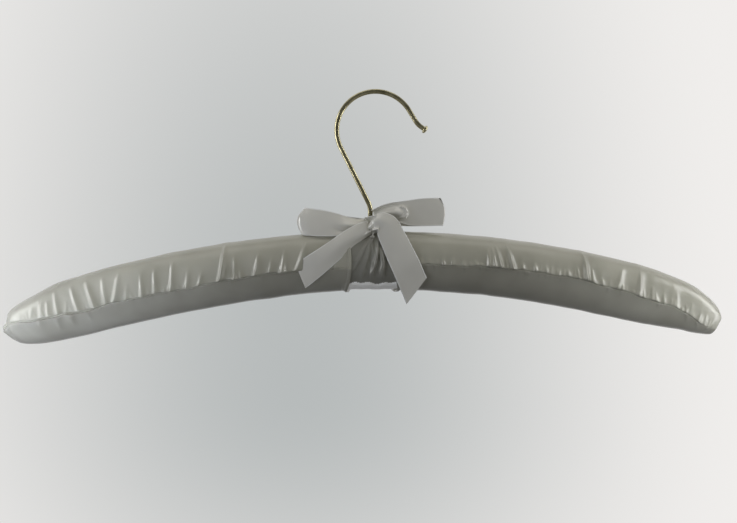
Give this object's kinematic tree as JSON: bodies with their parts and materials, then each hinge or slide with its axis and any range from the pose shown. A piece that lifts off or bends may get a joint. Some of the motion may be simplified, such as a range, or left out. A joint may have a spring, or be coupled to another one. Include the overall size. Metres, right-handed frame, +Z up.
{
  "type": "clothes hanger",
  "caption": "Arched padded satin clothes hanger with gathered covers, a swivelling brass wire hook and a tied ribbon bow.",
  "frame": {"origin": "where the hook's inside rests on its rail, straight above the swivel axis", "axes": "+X along the shoulders to the right, -Y out of the front where the bow's tails hang, +Z up"},
  "size_m": [0.3804, 0.0311, 0.1313],
  "materials": {
    "brass_wire": "polished plating",
    "brass_bush": "machined",
    "steel": "bright zinc",
    "wood": "sanded beech",
    "wadding": "soft wadding",
    "satin": "satin",
    "ribbon": "satin ribbon"
  },
  "bodies": {
    "hook": {"hook": "brass_wire"},
    "hanger": {"hook_bush": "brass_bush", "retaining_washer": "steel", "yoke": "wood", "left_padding": "wadding", "right_padding": "wadding", "left_cover": "satin", "right_cover": "satin", "centre_wrap": "satin", "bow_knot": "ribbon", "bow_left_loop": "ribbon", "bow_right_loop": "ribbon", "bow_left_tail": "ribbon", "bow_right_tail": "ribbon"}
  },
  "joints": [
    {"name": "hook_swivel", "type": "hinge", "parent": "hook", "child": "hanger", "pos_m": [0, 0, -0.07], "axis": [0, 0, 1], "continuous": true}
  ]
}
